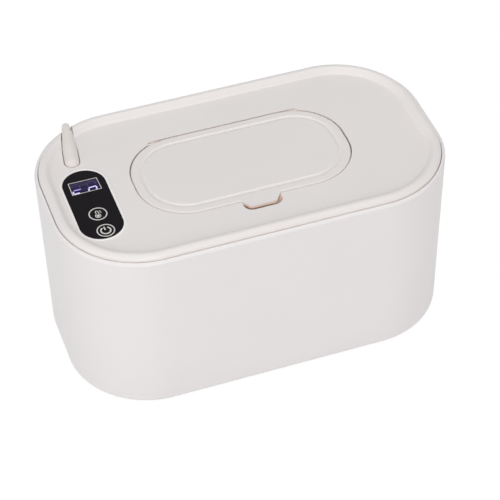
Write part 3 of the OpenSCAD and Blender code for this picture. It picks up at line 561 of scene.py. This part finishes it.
rise = math.asin(BOOT_DIR.z)
ahead, up = BOOT_DIR.xy.to_3d().normalized(), Vector((0, 0, 1))
bend_at = (BOOT_END + STRAIGHT * BOOT_DIR
           + BEND_R * (math.sin(rise) * ahead - math.cos(rise) * up))
bend_angles = [rise - (math.pi / 2 + rise) * i / BEND_STEPS for i in range(BEND_STEPS + 1)]
over_rim = [tuple(bend_at + BEND_R * (math.cos(a) * up - math.sin(a) * ahead))
            for a in bend_angles]
coil_route = [coil_point(i / POINTS_A_TURN) for i in range(COIL_TURNS * POINTS_A_TURN + 1)]
cord_route = [Vector(p) for p in [BOOT_END] + over_rim + DOWN_ROUTE + coil_route + TAIL_ROUTE]
print("cord route:", len(cord_route), "points")

# %% [markdown]
# The route's points are up to 18 mm apart, so a smooth line is drawn through them first. Each
# stretch is a Bezier arc whose handles point along the line between the neighbours, which
# bends as a soft flex does. A second small tree then gives any line a round section.

# %% Smooth lines and round sections
def smooth_path(points, step):
    """A smooth line through the points, with its own points about a step apart."""
    aims = [(b - a).normalized() for a, b in zip(points[:1] + points, points[1:] + points[-1:])]
    out = []
    for here, there, aim, onward in zip(points, points[1:], aims, aims[1:]):
        third = (there - here).length / 3
        count = max(1, round(3 * third / step))
        out += interpolate_bezier(here, here + aim * third, there - onward * third, there,
                                  count + 1)[:-1]
    return out + [points[-1]]


ROUND, given, end = shape_tree("round_line", {
    "Radius": "Float", "Sides": "Int", "Finish": "Material"})
line = add_node(ROUND, "GeometryNodeMeshToCurve", {"Mesh": given.outputs["Geometry"]})
section = add_node(ROUND, "GeometryNodeCurvePrimitiveCircle", {
    "Radius": given.outputs["Radius"], "Resolution": given.outputs["Sides"]})
skin = add_node(ROUND, "GeometryNodeCurveToMesh", {
    "Curve": line.outputs[0], "Profile Curve": section.outputs[0]}, Fill_Caps=True)
end(skin.outputs[0])

# %% Cord
CORD_POINT_GAP, CORD_SIDES = 1.6, 16
cord_line = smooth_path(cord_route, CORD_POINT_GAP)
cord = link_mesh("power_cord_flex", cord_line, [(i, i + 1) for i in range(len(cord_line) - 1)])
run_tree(cord, ROUND, radius=CORD_D / 2 * MM, sides=CORD_SIDES, finish=cord_vinyl)
close_up(cord, sharp=50)
stand_in(cord, "lid", "power_cord", "cord_coil", "cord_tail")

# %% [markdown]
# ## The tub
# The real tub is one injection moulding: walls that draw in a little towards the base so that
# it leaves the mould, a rounded bottom edge, and a rim with a lip round the lid and a ledge
# under it. It could be modelled from a box with bevels, but its wall is one profile all the
# way round, so the sweeping tree makes it. The feet's seats and the cord's notch are cut after.

# %% Tub
TUB_L, TUB_W, CORNER_R = 200.0, 115.0, 44.0
# Heights of the underside, the floor, the lid's ledge and the rim
BASE_Z, FLOOR_Z, LEDGE_Z, RIM_Z = 1.0, 3.4, 93.5, 97.3
# Distances from a corner's centre: outer wall low and high, lip, ledge, inner wall low and high
OUT_LOW, OUT_HIGH, LIP, LEDGE, IN_LOW, IN_HIGH = 42.7, 44.0, 42.3, 39.0, 40.3, 41.6
# How far from a corner's centre the floor's and the underside's one flat face starts
FLAT_EDGE = 35.7
BOTTOM_R, RIM_R, INNER_R, LEDGE_T, WALL_STEPS = 3.5, 1.5, 2.0, 2.0, 6

out_base, out_top = BASE_Z + BOTTOM_R, RIM_Z - RIM_R
in_base, under_ledge = FLOOR_Z + INNER_R, LEDGE_Z - LEDGE_T
bottom = [(FLAT_EDGE, BASE_Z)] + arc(OUT_LOW - BOTTOM_R, out_base, BOTTOM_R, -90, 0, 10)
wall = [(OUT_LOW + (OUT_HIGH - OUT_LOW) * i / WALL_STEPS,
         out_base + (out_top - out_base) * i / WALL_STEPS) for i in range(1, WALL_STEPS)]
rim = arc(OUT_HIGH - RIM_R, out_top, RIM_R, 0, 90)
inside = rounded([(OUT_HIGH - RIM_R, RIM_Z), (LIP, RIM_Z, 0.15), (LIP, LEDGE_Z, 0.3),
                  (LEDGE, LEDGE_Z, 0.3), (LEDGE, under_ledge, 0.3),
                  (IN_HIGH, under_ledge - (IN_HIGH - LEDGE), 1), (IN_LOW, in_base)])[1:-1]
inner_floor = arc(IN_LOW - INNER_R, in_base, INNER_R, 0, -90, 6) + [(FLAT_EDGE, FLOOR_Z)]
tub = sweep("tub_shell", bottom + wall + rim + inside + inner_floor, tub_abs,
            CORNER_R, TUB_L, TUB_W, steps=24)

# %% The feet's seats and the cord's notch
FOOT_AT = [(x, y, 0) for x in (-68, 68) for y in (-36.5, 36.5)]
FOOT_R, FOOT_T, PLAY = 7, 2, 0.1
seats = [rod((x, y, 0), (x, y, FOOT_T), FOOT_R + PLAY) for x, y, _ in FOOT_AT]
notch_at = Vector((BOOT_END.x, BOOT_END.y, RIM_Z + 0.2))
cut(tub, rod(notch_at + 2 * ahead, notch_at + 10 * ahead, CORD_D / 2 + 0.7), *seats)
stand_in(tub, "base", "tub")
print("tub:", len(tub.data.polygons), "faces")

# %% [markdown]
# ## Feet, screws and springs
# Four feet, eleven screws in three sizes and two touch springs are turned or wound once and
# then repeated. Copying the objects in a loop would do as well, but a tree that sets a piece on
# the points of a mesh keeps each set as one object, as a maker's parts list counts them.

# %% Copies on points
COPIES, given, end = shape_tree("copies_on_points", {"Piece": "Object", "Finish": "Material"})
piece = add_node(COPIES, "GeometryNodeObjectInfo", {"Object": given.outputs["Piece"]})
placed = add_node(COPIES, "GeometryNodeInstanceOnPoints", {
    "Points": given.outputs["Geometry"], "Instance": piece.outputs["Geometry"]})
end(placed.outputs[0])


def copies(name, piece, at, finish):
    """Sets a piece on every point, as one object, and removes the pattern piece."""
    thing = run_tree(link_mesh(name, at), COPIES, piece=piece, finish=finish)
    bpy.data.objects.remove(piece)
    return thing

# %% Feet
foot_profile = rounded([(0, 0), (FOOT_R, 0, 0.6), (FOOT_R, FOOT_T, 0.2), (0, FOOT_T)])
foot = sweep("foot_pattern", foot_profile, foot_rubber, FOOT_R)
feet = copies("rubber_foot_set", foot, FOOT_AT, foot_rubber)
stand_in(feet, "base", "rubber_feet")
print("feet:", len(feet.data.polygons), "faces")

# %% A recipe for screws
def box(low, high):
    """A plain block between two corners, in millimetres."""
    points = [(x, y, z) for z in (low[2], high[2]) for y in (low[1], high[1])
              for x in (low[0], high[0])]
    return link_mesh("block", points, faces=[(0, 2, 3, 1), (4, 5, 7, 6), (0, 1, 5, 4),
                                             (2, 6, 7, 3), (0, 4, 6, 2), (1, 3, 7, 5)])


def screw_set(name, node, at, shank, head, thick, length):
    """Pan-head screws that point up, their heads' undersides at the points, with cross slots.
    Shank and head are radii, and thick is the head's height."""
    profile = rounded([(0, -thick), (head, -thick, 0.55 * thick), (head, 0), (shank, 0),
                       (shank, length - 0.5), (0.3, length), (0, length)])
    screw = sweep("screw_pattern", profile, zinc_steel, head, steps=8)
    arm, half, deep = 0.6 * head, 0.14 * head, 0.55 * thick
    for x, y in ((arm, half), (half, arm)):
        cut(screw, box((-x, -y, -thick - 1), (x, y, deep - thick)))
    made = copies(name, screw, at, zinc_steel)
    print(name, len(at), "screws,", len(made.data.polygons), "faces")
    return stand_in(made, "lid", node)

# %% Screws
screw_set("lid_screw_set", "lid_screws",
          [(x, y, 86.1) for x, y in [(76.93, 34.43), (76.93, -34.43), (-76.93, -34.43),
                                     (-62.154, 42.453), (0, 43.1), (0, -43.1)]],
          shank=1.15, head=2.6, thick=1.6, length=8.3)
screw_set("board_screw_set", "board_screws",
          [(x, y, 89.4) for x, y in [(-84, -27.5), (-65, -27.5), (-65, 10)]],
          shank=0.95, head=1.9, thick=1.2, length=5.0)
screw_set("clamp_screw_set", "clamp_screws", [(x, 26.4, 87.5) for x in (-85.8, -71.8)],
          shank=0.95, head=1.7, thick=1.2, length=5.4)

# %% Touch springs
SPRING, given, end = shape_tree("touch_spring", {
    "Coil Radius": "Float", "Wire Radius": "Float", "Turns": "Float", "Height": "Float",
    "Finish": "Material"})
helix = add_node(SPRING, "GeometryNodeCurveSpiral", {
    "Rotations": given.outputs["Turns"], "Start Radius": given.outputs["Coil Radius"],
    "End Radius": given.outputs["Coil Radius"], "Height": given.outputs["Height"]}, Resolution=28)
wire = add_node(SPRING, "GeometryNodeCurvePrimitiveCircle",
                {"Radius": given.outputs["Wire Radius"]}, Resolution=10)
skin = add_node(SPRING, "GeometryNodeCurveToMesh", {
    "Curve": helix.outputs[0], "Profile Curve": wire.outputs[0]}, Fill_Caps=True)
placed = add_node(SPRING, "GeometryNodeInstanceOnPoints", {
    "Points": given.outputs["Geometry"], "Instance": skin.outputs[0]})
end(placed.outputs[0])

SPRING_X, SPRING_Y, SPRING_Z = -77.15, (-14.4, -27.2), 91.35
springs = link_mesh("touch_spring_pair", [(SPRING_X, y, SPRING_Z) for y in SPRING_Y])
run_tree(springs, SPRING, coil_radius=2.8 * MM, wire_radius=0.3 * MM, turns=4.0,
         height=4.7 * MM, finish=brass)
close_up(springs, sharp=60)
stand_in(springs, "lid", "touch_springs")
print("springs:", len(springs.data.polygons), "faces")

# %% [markdown]
# ## The touch panel
# The panel is a smoked acrylic lens with polished, slightly rounded edges in a thin raised
# bezel. Behind it glow two digits of a low-voltage display, and a frame and two touch marks, a
# thermometer and an on-off sign, are screen printed. The lines could be painted by a shader,
# but an ink line has a width and lies on the surface, so each is a line with a flat section.

# %% Panel and bezel
PANEL_AT, PANEL_L, PANEL_W = (-77.75, -7.0), 51.4, 21.4
PANEL_R = PANEL_W / 2
PANEL_LOW, PANEL_TOP, DECK_Z = 96.4, 97.6, 97.4
# How far from a corner's centre the lens's two flat faces start
LENS_FLAT = 8
BEZEL_W, BEZEL_R, BEZEL_SUNK, BEZEL_GAP = 1.25, 0.4, 0.1, 0.1

panel = sweep("touch_panel_lens",
              rounded([(LENS_FLAT, PANEL_LOW), (PANEL_R, PANEL_LOW, 0.1),
                       (PANEL_R, PANEL_TOP, 0.3), (LENS_FLAT, PANEL_TOP)]),
              panel_acrylic, PANEL_R, PANEL_W, PANEL_L, PANEL_AT)
stand_in(panel, "lid", "control_panel")

bezel_r, bezel_low = PANEL_R + BEZEL_W, DECK_Z - BEZEL_SUNK
bezel_profile = ([(PANEL_R + BEZEL_GAP, bezel_low), (bezel_r, bezel_low)]
                 + arc(bezel_r - BEZEL_R, DECK_Z, BEZEL_R, 0, 90, 5)
                 + arc(PANEL_R + BEZEL_GAP / 2 + BEZEL_R, DECK_Z, BEZEL_R, 90, 170, 5))
bezel = sweep("panel_bezel", bezel_profile, bezel_abs_painted_highlight, bezel_r,
              PANEL_W + 2 * BEZEL_W, PANEL_L + 2 * BEZEL_W, PANEL_AT, ring=True)
stand_in(bezel, "lid", slot="lid_plastic")
print("panel:", len(panel.data.polygons), "faces; bezel:", len(bezel.data.polygons), "faces")

# %% A recipe for printed lines
FLAT, given, end = shape_tree("flat_line", {
    "Width": "Float", "Thickness": "Float", "Finish": "Material"})
line = add_node(FLAT, "GeometryNodeMeshToCurve", {"Mesh": given.outputs["Geometry"]})
section = add_node(FLAT, "GeometryNodeCurvePrimitiveQuadrilateral", {
    "Width": given.outputs["Width"], "Height": given.outputs["Thickness"]})
skin = add_node(FLAT, "GeometryNodeCurveToMesh", {
    "Curve": line.outputs[0], "Profile Curve": section.outputs[0]}, Fill_Caps=True)
end(skin.outputs[0])
INK_T = 0.05


def stroke(*points):
    """An open line."""
    return list(points), False


def circle(x, y, radius, steps=72):
    """A closed round line, whose last point joins its first."""
    return arc(x, y, radius, 0, 360 - 360 / steps, steps - 1), True


def printed(name, groups, finish, slot, lift=0.0):
    """Flat lines on the panel. A group is a width and its lines."""
    parts = []
    for width, lines in groups:
        points, edges = [], []
        for path, closed in lines:
            first = len(points)
            points += [(x, y, PANEL_TOP + lift) for x, y in path]
            edges += [(first + i, first + i + 1) for i in range(len(path) - 1)]
            if closed:
                edges.append((len(points) - 1, first))
        parts.append(run_tree(link_mesh(name, points, edges), FLAT, width=width * MM,
                              thickness=INK_T * MM, finish=finish))
    work = bmesh.new()
    for part in parts:
        work.from_mesh(part.data)
    bmesh.ops.recalc_face_normals(work, faces=work.faces)
    if work.calc_volume(signed=True) < 0:
        bmesh.ops.reverse_faces(work, faces=work.faces)
    work.to_mesh(parts[0].data)
    work.free()
    for part in parts[1:]:
        bpy.data.objects.remove(part)
    print(name, len(parts[0].data.polygons), "faces")
    return stand_in(parts[0], "lid", slot=slot)

# %% Frame, thermometer and on-off sign
RING_W, FRAME_W, FINE_W, BOLD_W = 0.62, 0.5, 0.42, 0.8
HEAT_MARK, HEAT_R = (-77.3, -14.7), 4.25
POWER_MARK, POWER_R, POWER_ARC_R = (-77.0, -27.2), 4.15, 2.35
bulb_x, bulb_y, bulb_r, stem_r, stem_y = -77.55, -16.0, 1.3, 0.6, -13.1
join = math.degrees(math.asin(stem_r / bulb_r))
thermometer = (arc(bulb_x, bulb_y, bulb_r, 90 - join, join - 270, 18)
               + arc(bulb_x, stem_y, stem_r, 180, 0))
frame_line = [(-85.05, 11.1), (-70.8, 11.05), (-70.5, 2.6), (-85.1, 2.3)]
printed("panel_markings", [
    (RING_W, [circle(*HEAT_MARK, HEAT_R), circle(*POWER_MARK, POWER_R)]),
    (FRAME_W, [(frame_line, True)]),
    (FINE_W, [(thermometer, True), stroke((-76.3, -12.9), (-75.5, -13.1)),
              stroke((-76.3, -13.9), (-75.4, -14.1))]),
    (BOLD_W, [circle(bulb_x, bulb_y, BOLD_W / 2 + 0.02, 18),
              stroke(*arc(*POWER_MARK, POWER_ARC_R, 122, 418, 40)),
              stroke((-77.3, -24.5), (-77.1, -26.9))]),
], ink_grey, "panel_gloss")

# %% Display
WINDOW_W, DIGIT_W, DIM_W, UNDER, OVER = 8.6, 0.75, 0.7, -0.01, 0.01
printed("display_window", [(WINDOW_W, [stroke((-84.95, 6.78), (-70.7, 6.78))])],
        violet_window, "display_resin", lift=UNDER)
printed("display_digits", [(DIGIT_W, [
    stroke((-84.15, 4.8), (-84.5, 2.9)), stroke((-84.3, 2.85), (-81.3, 2.95)),
    stroke((-76.45, 4.5), (-76.65, 2.8)), stroke((-72.5, 5.0), (-72.75, 2.8)),
    stroke((-76.3, 5.05), (-72.6, 5.3))])], digit_white, "display_resin", lift=OVER)
printed("display_digits_half", [(DIGIT_W, [stroke((-83.6, 5.4), (-80.2, 5.35))])],
        digit_lilac, "display_resin", lift=OVER)
printed("display_digits_dim", [(DIM_W, [
    stroke((-80.3, 6.1), (-80.4, 8.4)), stroke((-83.5, 9.1), (-80.9, 9.1)),
    stroke((-76.4, 6.2), (-76.4, 8.4)), stroke((-72.4, 6.2), (-72.3, 8.4)),
    stroke((-75.7, 9.1), (-73.0, 9.1))])], digit_violet, "display_resin", lift=OVER)

# %% [markdown]
# ## Finishes of the solids that stay
# The pieces inside the lid keep the frame's own solids, because their shapes are right. Each
# takes the finish of the material that it is made of.

# %% Materials of the frame's own nodes
NODE_FINISHES = {
    "rim_gasket": seal_silicone, "door_seal": seal_silicone, "display_module": chip_resin,
    "control_board": board_green, "control_chip": chip_resin, "capacitor": can_aluminium,
    "heater_plate": rolled_aluminium, "heater_film": heater_amber, "insulation_pad": foam_felt,
    "thermistor": epoxy_blue, "thermal_fuse": fuse_ceramic, "lead_header": nylon,
    "cord_header": nylon, "sensor_leads": wire_blue, "heater_leads": wire_red,
    "cord_wires": wire_black, "cord_clamp": tray_pp, "plug_shell": plug_nickel,
    "plug_tongue": tongue_white, "plug_contacts": contact_gold,
}
for name, finish in NODE_FINISHES.items():
    dress(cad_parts[name], finish)
print("dressed", len(NODE_FINISHES), "nodes")

# %% [markdown]
# ## Floor, world and lamps
# The photograph is a cut-out on pure white, lit softly from the front and a little from the
# left. The floor shows white to the camera and keeps a faint contact shadow, while the object
# sees it as pale grey card. A strong lamp in front gives the walls their brightness, a weaker
# one above keeps the top a step darker than the front, a card at each side shapes the ends,
# and the world fills the rest.

# %% Floor
def sees_white(tree):
    """1 for rays that should meet the white background: the camera's, reflected and refracted."""
    path = add_node(tree, "ShaderNodeLightPath")
    total = path.outputs["Is Camera Ray"]
    for name in ("Is Glossy Ray", "Is Transmission Ray"):
        step = add_node(tree, "ShaderNodeMath", operation="MAXIMUM")
        tree.links.new(total, step.inputs[0])
        tree.links.new(path.outputs[name], step.inputs[1])
        total = step.outputs[0]
    return total


# The floor's own light is a little under white, and the shadow takes its share of the rest
FLOOR_HALF, FLOOR_GLOW, SHADED_SHARE = 6000, 0.9, 0.16
WHITE = (1, 1, 1, 1)
floor = link_mesh("floor", [(-FLOOR_HALF, -FLOOR_HALF, 0), (FLOOR_HALF, -FLOOR_HALF, 0),
                            (FLOOR_HALF, FLOOR_HALF, 0), (-FLOOR_HALF, FLOOR_HALF, 0)],
                  faces=[(0, 1, 2, 3)])
floor_card, tree = new_material("white_floor_card")
card = add_node(tree, "ShaderNodeBsdfDiffuse", Color=colour("E6E6E6"))
glow = add_node(tree, "ShaderNodeEmission", Color=WHITE, Strength=FLOOR_GLOW)
faint = add_node(tree, "ShaderNodeBsdfDiffuse", Color=(SHADED_SHARE,) * 3 + (1,))
seen = add_node(tree, "ShaderNodeAddShader")
tree.links.new(glow.outputs[0], seen.inputs[0])
tree.links.new(faint.outputs[0], seen.inputs[1])
pick = add_node(tree, "ShaderNodeMixShader", {"Fac": sees_white(tree)})
tree.links.new(card.outputs[0], pick.inputs[1])
tree.links.new(seen.outputs[0], pick.inputs[2])
finish_material(floor_card, tree, pick)
dress(floor, floor_card)
print("floor:", 2 * FLOOR_HALF * MM, "m across")

# %% World
FILL_STRENGTH = 0.355
world = bpy.data.worlds.new("studio")
scene.world = world
world.use_nodes = True
tree = world.node_tree
tree.nodes.clear()
backdrop = add_node(tree, "ShaderNodeBackground", Color=WHITE, Strength=1.0)
fill = add_node(tree, "ShaderNodeBackground", Color=colour("FFFEFD"), Strength=FILL_STRENGTH)
pick = add_node(tree, "ShaderNodeMixShader", {"Fac": sees_white(tree)})
tree.links.new(fill.outputs[0], pick.inputs[1])
tree.links.new(backdrop.outputs[0], pick.inputs[2])
sky = add_node(tree, "ShaderNodeOutputWorld")
tree.links.new(pick.outputs[0], sky.inputs["Surface"])

# %% Lamps
MIDDLE = Vector((0, 0, 0.05))


def lamp(name, spot, size, power, tint="FFFFFF"):
    """A square area lamp at spot, in metres, turned to the object's middle."""
    data = bpy.data.lights.new(name, "AREA")
    data.size = size
    data.energy = power
    data.color = colour(tint)[:3]
    made = bpy.data.objects.new(name, data)
    turn = (MIDDLE - Vector(spot)).to_track_quat("-Z", "Y").to_matrix().to_4x4()
    made.matrix_world = Matrix.Translation(spot) @ turn
    scene.collection.objects.link(made)
    print(name, power, "W")


lamp("front_softbox", (-0.35, -1.5, 0.75), size=1.1, power=11.6, tint="FFFDFB")
lamp("top_softbox", (0.1, 0.2, 1.7), size=1.2, power=9.4)
lamp("left_card", (-1.5, -0.3, 0.5), size=0.9, power=4.6)
lamp("right_card", (1.45, -0.6, 0.45), size=0.9, power=1.7)

# %% Colour management
scene.view_settings.view_transform = "Standard"
